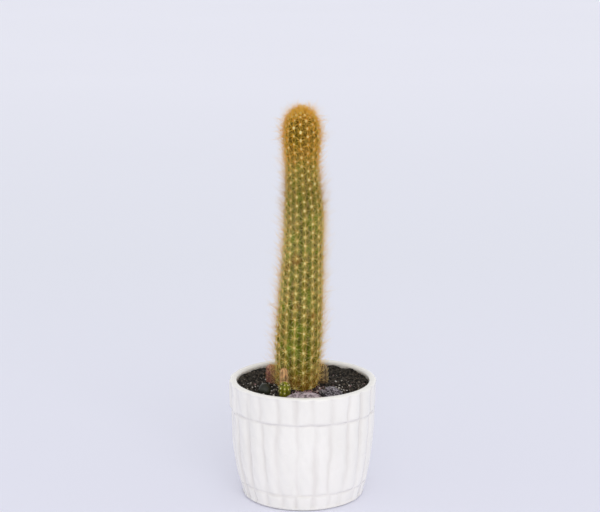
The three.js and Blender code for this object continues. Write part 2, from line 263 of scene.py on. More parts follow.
def unit(vectors):
    return vectors / np.maximum(np.linalg.norm(vectors, axis=-1, keepdims=True), 1e-9)


# Materials

def linear(value):
    """A value up to 255, as seen on screen, as a share of light."""
    share = value / 255
    return share / 12.92 if share <= 0.04045 else ((share + 0.055) / 1.055) ** 2.4


def colour_of(given):
    """Blender's colour for three numbers up to 255, as seen on screen. Four are Blender's own already."""
    return given if len(given) == 4 else (*map(linear, given), 1.0)


class Finish:
    """A node material with short names for the nodes that this plant needs."""

    def __init__(self, name, roughness, shine, **settings):
        self.material = bpy.data.materials.new(name)
        self.material.use_nodes = True
        self.tree = self.material.node_tree
        self.shader = self.tree.nodes["Principled BSDF"]
        self.shader.inputs["Roughness"].default_value = roughness
        self.shader.inputs["Specular IOR Level"].default_value = shine
        for key, value in settings.items():
            socket = self.shader.inputs[key.replace("_", " ")]
            socket.default_value = colour_of(value) if isinstance(value, tuple) else value
        self.place = self.node("ShaderNodeTexCoord").outputs["Object"]

    def node(self, kind, inputs=None, **settings):
        made = self.tree.nodes.new(kind)
        for key, value in settings.items():
            setattr(made, key, value)
        for key, value in (inputs or {}).items():
            made.inputs[key].default_value = value
        return made

    def link(self, source, target):
        self.tree.links.new(source, target)

    def value(self, name):
        """One of the named numbers that the mesh has at each point."""
        return self.node("ShaderNodeAttribute", attribute_name=name).outputs["Fac"]

    def noise(self, scale, detail=4, rough=0.6, distortion=0.0):
        inputs = {"Scale": scale, "Detail": detail, "Roughness": rough, "Distortion": distortion}
        made = self.node("ShaderNodeTexNoise", inputs)
        self.link(self.place, made.inputs["Vector"])
        return made.outputs["Fac"]

    def cells(self, scale):
        """Distance from the middle of the nearest cell."""
        made = self.node("ShaderNodeTexVoronoi", {"Scale": scale})
        self.link(self.place, made.inputs["Vector"])
        return made.outputs["Distance"]

    def ramp(self, source, *stops):
        """Colours at positions along a value. A number stands for that share of white."""
        made = self.node("ShaderNodeValToRGB")
        elements = made.color_ramp.elements
        while len(elements) < len(stops):
            elements.new(0.5)
        for element, (position, colour) in zip(elements, stops):
            element.position = position
            element.color = colour_of(colour if isinstance(colour, tuple) else (colour, colour, colour, 1))
        self.link(source, made.inputs["Fac"])
        return made.outputs["Color"]

    def scaled(self, source, factor):
        made = self.node("ShaderNodeMath", {1: factor}, operation="MULTIPLY", use_clamp=True)
        self.link(source, made.inputs[0])
        return made.outputs["Value"]

    def mix(self, share, first, second, kind="MIX"):
        """Two colours mixed. Each is a colour or comes out of a node, and so may the share, else a number."""
        made = self.node("ShaderNodeMix", data_type="RGBA", blend_type=kind)
        for socket, given in ((made.inputs[0], share), (made.inputs[6], first), (made.inputs[7], second)):
            if isinstance(given, tuple):
                socket.default_value = colour_of(given)
            elif isinstance(given, float):
                socket.default_value = given
            else:
                self.link(given, socket)
        return made.outputs[2]

    def times(self, first, second, share=1.0):
        return self.mix(share, first, second, "MULTIPLY")

    def colour(self, source):
        self.link(source, self.shader.inputs["Base Color"])

    def roughness(self, source, low, high):
        made = self.node("ShaderNodeMapRange", {"To Min": low, "To Max": high})
        self.link(source, made.inputs["Value"])
        self.link(made.outputs["Result"], self.shader.inputs["Roughness"])

    def bump(self, source, depth, strength=1.0):
        made = self.node("ShaderNodeBump", {"Distance": depth * MM, "Strength": strength})
        self.link(source, made.inputs["Height"])
        self.link(made.outputs["Normal"], self.shader.inputs["Normal"])


def glaze_finish():
    """White glaze, glossy, a little uneven, greyed by painted shade in the carving, and darkened inside the
    rim by soil stain and painted shade.
    """
    finish = Finish("pot_glaze", 0.2, shine=0.5, Coat_Weight=0.35, Coat_Roughness=0.08)
    cloud = finish.ramp(finish.noise(28, 3), (0.3, (241, 238, 232)), (0.7, (247, 244, 239)))
    # Painted shade: the glaze is greyed where the grooves and rings are cut
    carved_and_shaded = finish.scaled(finish.value("carved_and_shaded"), 0.3)
    colour = finish.mix(carved_and_shaded, cloud, (206, 198, 192))
    specks = finish.ramp(finish.noise(900, 2), (0.7, 0), (0.78, 0.35))
    speckled = finish.mix(specks, colour, (214, 206, 198))
    # Soil stain and painted shade inside the rim, darker towards the soil
    smears = finish.ramp(finish.noise(320, 4, 0.7), (0.36, 0.35), (0.6, 0.95))
    stained_and_shaded = finish.times(finish.value("soil_stain_and_shade"), smears)
    finish.colour(finish.mix(stained_and_shaded, speckled, (140, 128, 118)))
    finish.roughness(finish.noise(60, 3), 0.12, 0.3)
    finish.bump(finish.noise(160, 3), 0.12, 0.35)
    return finish.material


def soil_finish(name, dark, light):
    finish = Finish(name, 0.95, shine=0.2)
    crumbs = finish.ramp(finish.noise(430, 6, 0.8), (0.42, dark), (0.58, light), (0.7, (150, 142, 132)))
    fibres = finish.ramp(finish.noise(2400, 3), (0.35, 0.25), (0.7, 1))
    tinted = finish.times(crumbs, fibres, 0.75)
    tone = finish.ramp(finish.value("tone"), (0.0, 0.3), (1.0, (2.0, 1.9, 1.8, 1)))
    finish.colour(finish.times(tinted, tone))
    finish.bump(finish.noise(1400, 5, 0.7), 0.5, 0.9)
    return finish.material


def stem_skin_finish():
    """Green skin in patches, darker in the furrows by painted shade, corky on the crests, and brown where it
    is worn.
    """
    finish = Finish("stem_skin", 0.55, shine=0.08, Sheen_Weight=0.7, Sheen_Tint=(255, 174, 40))
    cloud = finish.noise(75, 4)
    # Painted shade: the skin is darker towards the furrows between the ribs
    ribs = finish.ramp(finish.value("crest"), (0.0, (48, 60, 0)), (0.9, (98, 108, 0)))
    green = finish.ramp(cloud, (0.5, 0), (0.66, 0.8))
    brown = finish.ramp(cloud, (0.3, 0.8), (0.44, 0))
    tinted = finish.mix(brown, finish.mix(green, ribs, (108, 140, 24)), (112, 80, 8))
    corky = finish.ramp(finish.value("crest"), (0.955, 0), (0.99, 0.5))
    lined = finish.mix(corky, tinted, (182, 142, 76))
    ragged = finish.ramp(finish.noise(420, 4), (0.35, 0.55), (0.6, 1))
    worn = finish.times(finish.value("wear"), ragged)
    aged = finish.mix(worn, lined, (132, 84, 24))
    head = finish.ramp(finish.value("height"), (0.84, 0), (0.9, 0.8))
    young = finish.mix(head, aged, (92, 64, 0))
    tip = finish.ramp(finish.value("height"), (0.955, 0), (0.975, 0.8))
    spots = finish.noise(800, 3, 0.7)
    flecks = finish.ramp(spots, (0.34, (0.62, 0.6, 0.5, 1)), (0.64, (1.3, 1.28, 1.2, 1)))
    finish.colour(finish.times(finish.mix(tip, young, (176, 92, 4)), flecks))
    finish.roughness(cloud, 0.45, 0.65)
    finish.bump(finish.noise(1500, 3), 0.08, 0.6)
    return finish.material


def offset_skin_finish(name, shaded_furrow, crest, worn, worn_to):
    """Young skin: darker in the furrows by painted shade, worn brown from the foot up to a share of its
    height.
    """
    finish = Finish(name, 0.55, shine=0.25)
    cloud = finish.noise(330, 4)
    # Painted shade: the skin is darker towards the furrows between the ribs
    ribs = finish.ramp(finish.value("crest"), (0.0, shaded_furrow), (0.85, crest))
    mottled = finish.ramp(cloud, (0.34, (0.4, 0.38, 0.34, 1)), (0.64, (1.3, 1.28, 1.22, 1)))
    pale = finish.times(ribs, mottled)
    foot = finish.ramp(finish.value("height"), (0.0, 0.85), (worn_to, 0.05))
    patches = finish.ramp(cloud, (0.35, 0), (0.65, 1))
    patchy = finish.times(foot, patches, 0.6)
    finish.colour(finish.mix(patchy, pale, worn))
    finish.roughness(cloud, 0.4, 0.65)
    finish.bump(finish.noise(1500, 3), 0.08, 0.6)
    return finish.material


def spine_finish(name, root, middle, tip, roughness=0.4):
    """Spines pale towards the tip, the head's are warmer at the root, and each has its own tone."""
    finish = Finish(name, roughness, shine=0.12, Sheen_Weight=1.0, Sheen_Tint=(255, 216, 98))
    along = finish.ramp(finish.value("along"), (0.0, root), (0.3, middle), (1.0, tip))
    tones = [(0.0, (0.6, 0.52, 0.4, 1)), (0.4, (0.98, 0.96, 0.92, 1)), (1.0, 1)]
    tone = finish.ramp(finish.value("tone"), *tones)
    fading = finish.ramp(finish.value("along"), (0.2, 1), (1.0, 0.6))
    warm = finish.times(finish.value("warmth"), fading)
    warmth = finish.ramp(warm, (0.0, 1), (1.0, (1.0, 0.78, 0.22, 1)))
    grain = finish.ramp(finish.noise(700, 2), (0.3, 0.97), (0.7, 1))
    toned = finish.times(finish.times(along, tone), warmth)
    finish.colour(finish.times(toned, grain))
    return finish.material


def felt_finish(name, dark, light):
    finish = Finish(name, 0.95, shine=0.1, Sheen_Weight=0.3)
    wool = finish.ramp(finish.noise(3200, 4, 0.7), (0.3, dark), (0.7, light))
    tone = finish.ramp(finish.value("tone"), (0.0, (0.76, 0.7, 0.56, 1)), (0.5, 1))
    finish.colour(finish.times(wool, tone))
    finish.bump(finish.noise(5200, 3), 0.25, 0.9)
    return finish.material


def stone_finish(name, patch, dark, light, seam, seam_share, roughness):
    """Mottled stone: patch is how many patches a metre holds, and seams run through it."""
    finish = Finish(name, roughness, shine=0.4)
    body = finish.ramp(finish.noise(patch, 6, 0.75, 0.6), (0.43, dark), (0.6, light))
    low = 0.5 - seam_share
    high = 0.5 + seam_share
    streaks = finish.noise(230, 4, 0.7, 1.4)
    veins = finish.ramp(streaks, (low, 0), (0.5, 0.85), (high, 0))
    specks = finish.ramp(finish.noise(1900, 3), (0.35, 0.7), (0.65, 1.1))
    finish.colour(finish.times(finish.mix(veins, body, seam), specks))
    finish.roughness(finish.noise(300, 3), roughness - 0.12, roughness + 0.12)
    finish.bump(finish.noise(900, 6, 0.7), 0.35, 0.7)
    return finish.material


def grain_finish(name, dark, light):
    finish = Finish(name, 0.9, shine=0.25)
    body = finish.ramp(finish.noise(1300, 4), (0.3, dark), (0.7, light))
    tone = finish.ramp(finish.value("tone"), (0.0, (0.7, 0.66, 0.62, 1)), (1.0, 1))
    finish.colour(finish.times(body, tone))
    finish.bump(finish.cells(2600), 0.2, 0.6)
    return finish.material


# The pot

def upper_ring(azimuth):
    """The height of the upper ring on each side."""
    return UPPER_RING_Z - RING_DIP * np.sin(azimuth) ** 2


def barrel_radius(z, azimuth=0.0):
    """The radius over the staves, with the collar that stands out above the upper ring."""
    drop = 1 - np.clip(z / BELLY_Z, 0, 1)
    collar = COLLAR * smoothstep(z - upper_ring(azimuth), -COLLAR_EDGE, COLLAR_EDGE)
    flare = RIM_FLARE * np.clip((z - FLARE_FROM_Z) / (POT_HEIGHT - FLARE_FROM_Z), 0, 1)
    return BELLY_RADIUS + (FOOT_CURVE_RADIUS - BELLY_RADIUS) * drop**FOOT_CURVE_POWER + collar + flare


def groove_azimuth(stave, z):
    """The groove between two staves wanders a little, and shifts from one tier to the next."""
    even = (stave + 0.5) / STAVES * TURN
    tier = (z > LOWER_RING_Z) * 1 + (z > upper_ring(even)) * 1
    wander = GROOVE_WANDER * np.sin(stave * 2.4 + tier * 2.1) + 0.6 * np.sin(z / 9 + stave * 1.7)
    kinks = 0.5 * np.sin(z / 3.7 + stave * 4.1) * np.sin(z / 13 + stave)
    return even + np.radians(wander + kinks + GROOVE_SHIFT - GROOVE_CROWDING * np.sin(even))


def carving(azimuth, z):
    """Depth of the carving at each point, and how far into a groove the point lies, from 0 to 1.

    The sines give each groove, stave and ring its own depth and width, as a hand does.
    """
    stave = np.floor(azimuth / TURN * STAVES - 0.5)
    radius = barrel_radius(z)
    depth = np.zeros_like(z)
    nearest = np.full_like(z, 99.0)
    for step in (-1, 0, 1, 2):
        away = (azimuth - groove_azimuth(stave + step, z) + math.pi) % TURN - math.pi
        number = np.mod(stave + step, STAVES)
        strength = 0.8 + 0.35 * np.sin(number * 5.3 + z / 17)
        width = GROOVE_WIDTH * (1 + 0.3 * np.sin(number * 3.7 + z / 23))
        depth = np.maximum(depth, GROOVE_DEPTH * strength * np.exp(-((away * radius / width) ** 2)))
        nearest = np.minimum(nearest, np.abs(away) * radius)
    # Each stave is rounded like a split log, and is set a little deeper or prouder than its neighbours
    half_stave = math.pi / STAVES * radius
    inside = np.clip(nearest / half_stave, 0, 1)
    rounding = STAVE_ROUNDING * (1 - inside) ** 2
    tier = (z > LOWER_RING_Z) * 1 + (z > upper_ring(azimuth)) * 1
    number = np.mod(stave + (((azimuth - groove_azimuth(stave + 1, z) + math.pi) % TURN) > math.pi), STAVES)
    sunk = STAVE_UNEVENNESS * (0.5 + 0.5 * np.sin(number * 7.1 + tier * 1.9 + 0.6 * np.sin(z / 11 + number)))
    rounding += sunk * smoothstep(inside, 0, 0.3)
    rings = np.zeros_like(z)
    for ring_z in (LOWER_RING_Z, upper_ring(azimuth)):
        wander = ring_z + 0.35 * np.sin(azimuth * 5) + 0.2 * np.sin(azimuth * 17)
        strength = RING_DEPTH * (0.85 + 0.25 * np.sin(azimuth * 11))
        rings = np.maximum(rings, strength * np.exp(-(((z - wander) / RING_WIDTH) ** 2)))
    groove = np.maximum(depth, rings)
    return groove + rounding, np.clip(groove / RING_DEPTH, 0, 1)


def notches(azimuth, z):
    """Short level cuts across some staves, and soft dents as a knife leaves them."""
    marks = np.zeros_like(z)
    draws = np.random.default_rng(23)
    for _ in range(NOTCHES):
        stave = draws.integers(STAVES)
        centre_z = draws.choice([draws.uniform(20, 68), draws.uniform(78, 90)], p=[0.85, 0.15])
        middle = stave / STAVES * TURN + draws.uniform(-0.05, 0.05)
        half = draws.uniform(0.035, 0.085)
        away = np.abs((azimuth - middle + math.pi) % TURN - math.pi)
        drift = centre_z + draws.uniform(-6, 6) * (azimuth - middle)
        cut = draws.uniform(0.12, 0.3) * np.exp(-(((z - drift) / draws.uniform(0.5, 1.0)) ** 2))
        marks = np.maximum(marks, cut * smoothstep(half - away, 0, 0.02))
    dents = 0.18 * np.sin(azimuth * 31 + z / 6.5) * np.sin(z / 5.7 + azimuth * 9)
    dents += 0.14 * np.sin(azimuth * 13 + z / 9.5) * np.sin(z / 11 + azimuth * 5)
    return marks + dents


def make_pot():
    """Rows from the middle of the foot up the outside, over the lip and down the inside."""
    azimuths = np.arange(POT_COLUMNS) / POT_COLUMNS * TURN
    # The outer rows stand closer where the rings are cut: where each band of them starts, and how many it has
    bands = [
        (FOOT_CORNER_Z, 10), (LOWER_RING_Z - 2.5, 12), (LOWER_RING_Z + 2.5, 60), (UPPER_RING_Z - 3.5, 16),
        (UPPER_RING_Z + 3.5, 19), (POT_HEIGHT - LIP_ROUND, 1),
    ]
    starts, counts = zip(*bands)
    outer_z = np.interp(np.arange(sum(counts)), np.cumsum((0, *counts[:-1])), starts)
    # Rows of radius, height and share of the carving. Foot: recess, foot ring and the rounded corner above it
    rows = [(FOOT_INNER_RADIUS - 1.2, FOOT_HEIGHT, 0), (FOOT_INNER_RADIUS, 0.3, 0)]
    rows += [(FOOT_INNER_RADIUS + 0.6, 0, 0), (FOOT_OUTER_RADIUS, 0, 0)]
    corner = barrel_radius(FOOT_CORNER_Z)
    for angle in np.radians([22, 45, 68]):
        spread = (corner - FOOT_OUTER_RADIUS) * math.sin(angle)
        rows.append((FOOT_OUTER_RADIUS + spread, FOOT_CORNER_Z * (1 - math.cos(angle)), 0.2))
    rows += [(barrel_radius(z), z, 1) for z in outer_z]
    # Lip: a half round between the outer and the inner wall
    lip_inner = barrel_radius(POT_HEIGHT) - WALL - COLLAR
    middle = (RIM_RADIUS + lip_inner) / 2
    half = (RIM_RADIUS - lip_inner) / 2
    for angle in np.radians([20, 40, 60, 78, 90, 102, 120, 140, 160, 180]):
        bulge = math.sin(angle) ** 0.8 * LIP_ROUND
        cut = 0.5 * max(0, math.cos(angle))
        rows.append((middle + half * math.cos(angle), POT_HEIGHT - LIP_ROUND + bulge, cut))
    # Inner wall, with more rows where soil smears it, and the corner at the floor
    for z in (93, 92, 91, 90, 88, 80, 72, 58, 42, 28, 16, 10):
        collar = COLLAR if z > UPPER_RING_Z else 0
        rows.append((barrel_radius(z) - WALL - collar, z, 0))
    rows.append((barrel_radius(FLOOR_TOP) - WALL - FLOOR_CORNER, FLOOR_TOP, 0))
    radius, height, carved_and_shaded = (np.array(column, dtype=float)[:, None] for column in zip(*rows))
    azimuth = np.tile(azimuths, (len(rows), 1))
    z = np.repeat(height, POT_COLUMNS, axis=1)
    depth, groove = carving(azimuth, z)
    depth = (depth + notches(azimuth, z)) * carved_and_shaded
    dip = barrel_radius(z, azimuth) - barrel_radius(z)
    reach = radius + dip * (carved_and_shaded >= 1) - depth
    points = np.stack([reach * np.sin(azimuth), -reach * np.cos(azimuth), z], axis=-1).reshape(-1, 3)
    points = np.vstack([points, [(0, 0, FOOT_HEIGHT), (0, 0, FLOOR_TOP)]])
    faces = ring_faces(len(rows), POT_COLUMNS)
    # Painted shade in the grooves and rings, as strong as the cut is deep
    shade = np.append((groove * carved_and_shaded).ravel(), [0, 0])
    # Inside the rim: soil stain and painted shade, darker towards the soil
    within = (radius < barrel_radius(z) - WALL / 2) & (z > FLOOR_TOP)
    soil_stain_and_shade = np.append((within * smoothstep(z, POT_HEIGHT - 0.5, SOIL_Z + 1)).ravel(), [0, 1])
    values = {"carved_and_shaded": shade, "soil_stain_and_shade": soil_stain_and_shade}
    pot = make_object("pot_body", points, faces, glaze_finish(), values=values)
    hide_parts("pot")


# The soil and what lies on it

def soil_height(x, y):
    """Low clods, as in the frame, with finer lumps on them."""
    base = SOIL_Z + 0.8 * math.sin(x / 6.1 + 1) * math.cos(y / 5.3) + 0.4 * math.sin((x - y) / 3.7)
    base += SOIL_BANK * smoothstep(math.hypot(x, y), BANK_RADIUS, SOIL_RADIUS)
    spot = Vector((x, y, 0))
    lumps = 0.9 * noise.fractal(spot / 3.1, 0.8, 2.1, 4)
    crumbs = 0.55 * (0.5 - noise.voronoi(spot / 1.7)[0][0])
    return base + lumps + crumbs


def make_soil():
    columns = 300
    rows = SOIL_SIDE + [(None, SOIL_RADIUS * share) for share in np.linspace(1, 0.012, 62)]
    points = []
    for height, radius in rows:
        for column in range(columns):
            x, y = around(column / columns * TURN, radius)
            points.append((x, y, height or soil_height(x, y)))
    points += [(0, 0, SOIL_SIDE[0][0]), (0, 0, soil_height(0, 0))]
    faces = ring_faces(len(rows), columns)
    tone = [0.5 + 0.5 * noise.noise(Vector(point) / 9) for point in points]
    finish = soil_finish("soil", (7, 6, 5), (76, 72, 66))
    soil = make_object("soil_bed", points, faces, finish, values={"tone": tone})
    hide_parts("soil")


def lump_shape(divisions):
    """Points and faces of a unit sphere to be knocked out of shape."""
    builder = bmesh.new()
    bmesh.ops.create_icosphere(builder, subdivisions=divisions, radius=1)
    points = np.array([tuple(vertex.co) for vertex in builder.verts])
    faces = [tuple(vertex.index for vertex in face.verts) for face in builder.faces]
    builder.free()
    return points, faces


def make_grains(name, finish, spots, sizes, draws, lift, divisions, rough):
    """Small grains on the soil in one piece, each turned, stretched and chipped in its own way."""
    shape, shape_faces = lump_shape(divisions)
    points = []
    faces = []
    tones = []
    for (x, y), size in zip(spots, sizes):
        turn = Matrix.Rotation(draws.uniform(0, TURN), 3, unit(draws.normal(size=3)))
        stretch = draws.uniform(0.65, 1.2, size=3)
        chipped = shape * (1 + draws.uniform(-rough, rough, size=(len(shape), 1)))
        centre = (x, y, soil_height(x, y) + lift * size)
        placed = (chipped * stretch * size) @ np.array(turn).T + centre
        start = len(points) * len(shape)
        points.append(placed)
        faces += [tuple(start + corner for corner in face) for face in shape_faces]
        tones.append(np.full(len(shape), draws.uniform()))
    values = {"tone": np.concatenate(tones)}
    made = make_object(name, np.vstack(points), faces, finish, smooth=divisions > 1, values=values)


def is_open_soil(x, y, margin=0.0):
    """Whether a place on the soil is clear of the stem and the offsets."""
    if math.hypot(x - STEM_FOOT_X, y) < STEM_FOOT_RADIUS + margin:
        return False
    return all(math.hypot(x - near.x, y - near.y) > near.radius + margin for near in OFFSETS.values())


def scatter(count, draws, low, high, keep):
    """Places in the ring between two radii that a rule keeps."""
    places = []
    while len(places) < count:
        place = around(draws.uniform(0, TURN), math.sqrt(draws.uniform(low**2, high**2)))
        if keep(*place):
            places.append(place)
    return places


def make_crumbs():
    draws = np.random.default_rng(41)
    spots = scatter(CRUMBS, draws, 0, SOIL_RADIUS - 1.2, is_open_soil)
    sizes = 0.35 + 1.0 * draws.random(len(spots)) ** 2.6
    finish = soil_finish("soil_crumbs", (4, 4, 4), (106, 98, 90))
    make_grains("soil_crumbs", finish, spots, sizes, draws, lift=0.15, divisions=1, rough=0.28)


def make_perlite():
    """White grains: some where the photograph shows them, the others strewn round, more of them in front."""
    draws = np.random.default_rng(43)

    def keep(x, y):
        return is_open_soil(x, y, 0.5) and draws.random() < 0.4 - y / 80

    strewn = scatter(WHITE_GRAINS, draws, 17, SOIL_RADIUS - 1.5, keep)
    spots = [(x, y) for x, y, _ in PERLITE_SEEN] + strewn
    sizes = [size for _, _, size in PERLITE_SEEN] + list(0.24 + 0.8 * draws.random(len(strewn)) ** 3)
    finish = grain_finish("perlite", (196, 190, 182), (246, 243, 238))
    make_grains("perlite_grains", finish, spots, sizes, draws, lift=0.3, divisions=2, rough=0.1)


def make_grit():
    """Pinkish-brown grit, thickest in front of the stem's foot."""
    draws = np.random.default_rng(47)

    def keep(x, y):
        away = math.hypot(x - GRIT_PLACE[0], y - GRIT_PLACE[1]) / GRIT_SPREAD
        return is_open_soil(x, y, 0.3) and draws.random() < math.exp(-(away**2)) + 0.003

    spots = scatter(GRIT_GRAINS, draws, 0, SOIL_RADIUS - 2, keep)
    sizes = draws.uniform(0.35, 1.0, len(spots))
    finish = grain_finish("foot_grit", (116, 82, 86), (204, 168, 172))
    make_grains("foot_grit", finish, spots, sizes, draws, lift=0.35, divisions=1, rough=0.2)


def make_stone(name, finish, roughness, seed):
    """A stone of the frame's size and place, with its own hollows."""
    low, high = (np.array(corner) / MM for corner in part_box(name))
    centre = (low + high) / 2
    half = (high - low) / 2
    shape, faces = lump_shape(divisions=5)
    shift = Vector((seed * 3.7, seed * 1.3, seed * 2.9))
    reach = []
    for spot in shape:
        spot = Vector(spot)
        wave = noise.fractal(spot * 1.4 + shift, 0.9, 2.0, 5)
        reach.append(0.97 + roughness * wave)
    points = shape * np.array(reach)[:, None] * half + centre
    made = make_object(name + "_body", points, faces, finish)
    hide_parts(name)


def make_stones():
    pink = (206, 186, 192)
    pale = stone_finish("stone_pale", 300, (66, 52, 54), pink, (216, 202, 204), 0.02, 0.7)
    dark = stone_finish("stone_dark", 190, (4, 4, 5), (66, 53, 64), (230, 220, 226), 0.03, 0.5)
    green = stone_finish("stone_green", 380, (18, 20, 12), (43, 46, 31), (32, 36, 24), 0.02, 0.45)
    make_stone("stone_pale", pale, roughness=0.04, seed=1)
    make_stone("stone_dark", dark, roughness=0.12, seed=2)
    make_stone("stone_green", green, roughness=0.04, seed=3)


# Cactus stems

class Plant:
    """The ribbed surface of one stem: azimuth runs round it and along runs up its profile.

    Areoles sit between lowest and the bare crown, and the crests sink by bump between them.
    """

    def __init__(self, profile, axis, twist, ribs, rib_depth, first_areole, spacing, crown, bump, lowest=0.0):
        curve = catmull_rom([(radius, z) for z, radius in profile])
        lengths = np.append(0, np.cumsum(np.linalg.norm(np.diff(curve, axis=0), axis=1)))
        self.length = lengths[-1]
        self.lengths = lengths
        self.curve = curve
        self.axis = axis
        self.twist = twist
        self.ribs = ribs
        self.rib_depth = rib_depth
        self.crown = crown
        self.lowest = lowest
        self.bump = bump
        steps = [first_areole]
        while steps[-1] < self.length:
            steps.append(steps[-1] + spacing(steps[-1], self.length))
        self.steps = np.array(steps)

    def stagger(self, rib):
        """How far a rib's areoles are shifted, as a share of their spacing."""
        return np.mod(rib * 7 / self.ribs, 1)

    def place(self, azimuth, along, inset=0.0):
        """Points on the surface, the directions out of it and round the stem, and the stem's radius there."""
        azimuth, along = np.broadcast_arrays(np.asarray(azimuth, float), np.asarray(along, float))
        step = 0.05
        low = np.clip(along - step, 0, self.length - 2 * step)
        radius = np.interp(along, self.lengths, self.curve[:, 0])
        z = np.interp(along, self.lengths, self.curve[:, 1])
        widen, rise = (
            np.interp(low + 2 * step, self.lengths, column) - np.interp(low, self.lengths, column)
            for column in self.curve.T
        )
        turned = azimuth + np.radians(self.twist * (z - UNTWISTED_Z))
        normal = unit(np.stack([np.sin(turned) * rise, -np.cos(turned) * rise, -widen], axis=-1))
        point = np.stack([np.sin(turned) * radius, -np.cos(turned) * radius, z], axis=-1)
        point[..., :2] += self.axis(z)
        side = np.stack([np.cos(turned), np.sin(turned), np.zeros_like(turned)], axis=-1)
        return point - normal * np.asarray(inset)[..., None], normal, side, radius

    def inset(self, azimuth, along):
        """How far the surface lies inside the crests' outline, and how near a point is to a crest."""
        pitch = TURN / self.ribs
        rib = np.round(azimuth / pitch)
        phase = azimuth / pitch - rib
        radius = np.interp(along, self.lengths, self.curve[:, 0])
        depth = np.minimum(self.rib_depth, radius * 0.14)
        crest = np.cos(math.pi * phase)
        count = np.interp(along, self.steps, np.arange(len(self.steps)))
        count = count - self.stagger(np.mod(rib, self.ribs))
        started = smoothstep(along, self.steps[0] - 4, self.steps[0] + 2)
        waist = self.bump * (1 - np.cos(TURN * count)) / 2 * crest * started
        fade = np.minimum(1, radius / 6)
        return depth * (1 - crest) + waist * fade, crest

    def areoles(self):
        """Azimuth and distance along the profile of every areole."""
        places = []
        for rib in range(self.ribs):
            counts = np.arange(len(self.steps)) + self.stagger(rib)
            counts = counts[counts < len(self.steps) - 1]
            alongs = np.interp(counts, np.arange(len(self.steps)), self.steps)
            seen = alongs[(alongs > self.lowest) & (alongs < self.length - self.crown)]
            places += [(rib * TURN / self.ribs, along) for along in seen]
        return np.array(places)


def wear_at(points):
    """How brown the old parts of the stem are, from 0 to 1: its foot, its neck and its scars."""
    azimuth = np.degrees(np.arctan2(points[:, 0] - STEM_MEAN_X, -points[:, 1]))
    z = points[:, 2]
    neck = 0.9 * np.exp(-(((z - NECK_Z) / NECK_WIDTH) ** 2)) * (0.75 + 0.25 * np.sin(azimuth / 9))
    worn = np.maximum(0.75 * smoothstep(z, WORN_FOOT_Z, SOIL_Z + 2), neck)
    for scar_azimuth, scar_z, size in SCARS:
        turned = (azimuth - scar_azimuth + 180) % 360 - 180
        sideways = turned * STEM_MEAN_RADIUS / DEGREES_IN_RADIAN
        away = np.hypot(sideways, (z - scar_z) * 0.8) / size
        worn = np.maximum(worn, np.exp(-(away**4)))
    return worn


def make_stem_body(node, plant, finish, columns, step, top):
    """The skin: step is how far apart its rows are, and top is the height that counts as its tip."""
    rows = int(plant.length / step)
    along = np.linspace(0, plant.length - step * 0.5, rows)
    azimuth = np.arange(columns) / columns * TURN
    azimuths, alongs = np.meshgrid(azimuth, along)
    inset, crest = plant.inset(azimuths, alongs)
    points = plant.place(azimuths, alongs, inset)[0]
    flat = points.reshape(-1, 3)
    ends = plant.place([0, 0], [0, plant.length])[0]
    foot = [*plant.axis(ends[0][2]), ends[0][2]]
    flat = np.vstack([flat, [foot], [ends[1]]])
    faces = ring_faces(rows, columns)
    height = np.clip((flat[:, 2] - SOIL_Z) / (top - SOIL_Z), 0, 1)
    values = {"crest": np.append(crest.ravel(), [0, 1]), "height": height, "wear": wear_at(flat)}
    made = make_object(node + "_body", flat, faces, finish, values=values)
    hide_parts(node)
    return made


def upward_on(normal, side):
    """The direction that runs up the surface."""
    up = np.cross(side, normal)
    up *= np.where(up[:, 2:] < 0, -1, 1)
    return unit(up)


def make_needles(name, finish, roots, directions, lengths, radii, droop, tones, segments=2):
    """Three-sided tapered needles in one piece, each sunk into what it grows from and bent by its droop."""
    warmth = smoothstep(roots[:, 2], WARM_FROM_Z, WARM_TO_Z)
    dull = DULLNESS * np.exp(-((roots[:, 2] - DULL_Z) / DULL_WIDTH) ** 2)
    tones = tones * (1 - 0.6 * wear_at(roots) * (1 - warmth)) * (1 - dull)
    count = len(roots)
    helper = np.where(np.abs(directions[:, 2:]) > 0.9, [[1.0, 0, 0]], [[0, 0, 1.0]])
    first = unit(np.cross(directions, helper))
    second = np.cross(directions, first)
    shares = [0, *[(index + 1) / (segments + 0.2) for index in range(segments - 1)], 1]
    layers = []
    alongs = []
    for index, share in enumerate(shares):
        centre = roots + directions * (lengths * share)[:, None] + droop * (lengths * share**2)[:, None]
        if index == 0:
            centre = centre - directions * (radii * 2)[:, None]
        if index == len(shares) - 1:
            layers.append(centre[:, None, :])
            alongs.append(np.full((count, 1), 1.0))
            continue
        thick = radii * (1 - 0.72 * share)
        corners = []
        for side in range(3):
            angle = side / 3 * TURN
            spread = first * math.cos(angle) + second * math.sin(angle)
            corners.append(centre + spread * thick[:, None])
        layers.append(np.stack(corners, axis=1))
        alongs.append(np.full((count, 3), share))
    block = np.concatenate(layers, axis=1)
    size = block.shape[1]
    pattern = [(0, 2, 1)]
    for index in range(segments - 1):
        low = index * 3
        for side in range(3):
            after = (side + 1) % 3
            pattern.append((low + side, low + after, low + 3 + after, low + 3 + side))
    last = (segments - 1) * 3
    pattern += [(last + side, last + (side + 1) % 3, size - 1) for side in range(3)]
    faces = [tuple(needle * size + corner for corner in face) for needle in range(count) for face in pattern]
    values = {
        "along": np.concatenate(alongs, axis=1).ravel(),
        "tone": np.repeat(tones, size),
        "warmth": np.repeat(warmth, size),
    }
    made = make_object(name, block.reshape(-1, 3), faces, finish, values=values)


